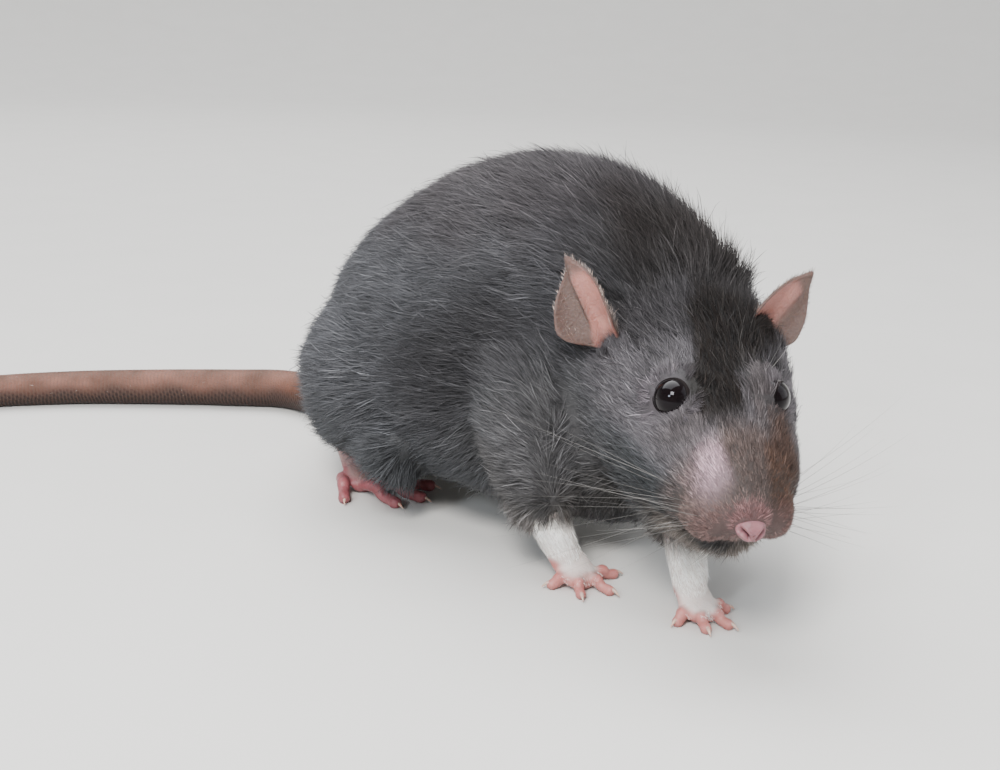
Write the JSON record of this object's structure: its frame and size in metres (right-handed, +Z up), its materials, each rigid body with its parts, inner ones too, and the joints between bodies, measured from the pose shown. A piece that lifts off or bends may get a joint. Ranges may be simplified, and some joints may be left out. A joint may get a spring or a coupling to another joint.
{
  "type": "pet rat",
  "caption": "Life-size still model of a pet rat crouched on four feet, head turned to its right, tail curved along the floor.",
  "frame": {"origin": "on the floor under the middle of the bounding box, soles and tail resting in z = 0", "axes": "+Z up; the rat faces -Y and its right side is -X; +Y is the longest extent, from nose to the tail's far bend"},
  "size_m": [0.1918, 0.2344, 0.0792],
  "materials": {
    "coat_grey": "medium-short grey fur with brown-black forehead",
    "coat_white": "short white fur of the fore socks",
    "ear_skin": "thin pinkish brown skin",
    "foot_skin": "bare pink skin",
    "tail_skin": "ringed scaly skin with sparse hairs",
    "eye_black": "wet black"
  },
  "bodies": {
    "root": {"head": "coat_grey", "neck": "coat_grey", "torso": "coat_grey", "upper_arm_right": "coat_grey", "upper_arm_left": "coat_grey", "thigh_right": "coat_grey", "thigh_left": "coat_grey", "shank_right": "coat_grey", "shank_left": "coat_grey", "forearm_right": "coat_white", "forearm_left": "coat_white", "ear_right": "ear_skin", "ear_left": "ear_skin", "eye_right": "eye_black", "eye_left": "eye_black", "fore_paw_right": "foot_skin", "fore_paw_left": "foot_skin", "hind_foot_right": "foot_skin", "hind_foot_left": "foot_skin", "tail_1": "tail_skin", "tail_2": "tail_skin", "tail_3": "tail_skin", "tail_4": "tail_skin", "tail_5": "tail_skin"}
  },
  "joints": []
}
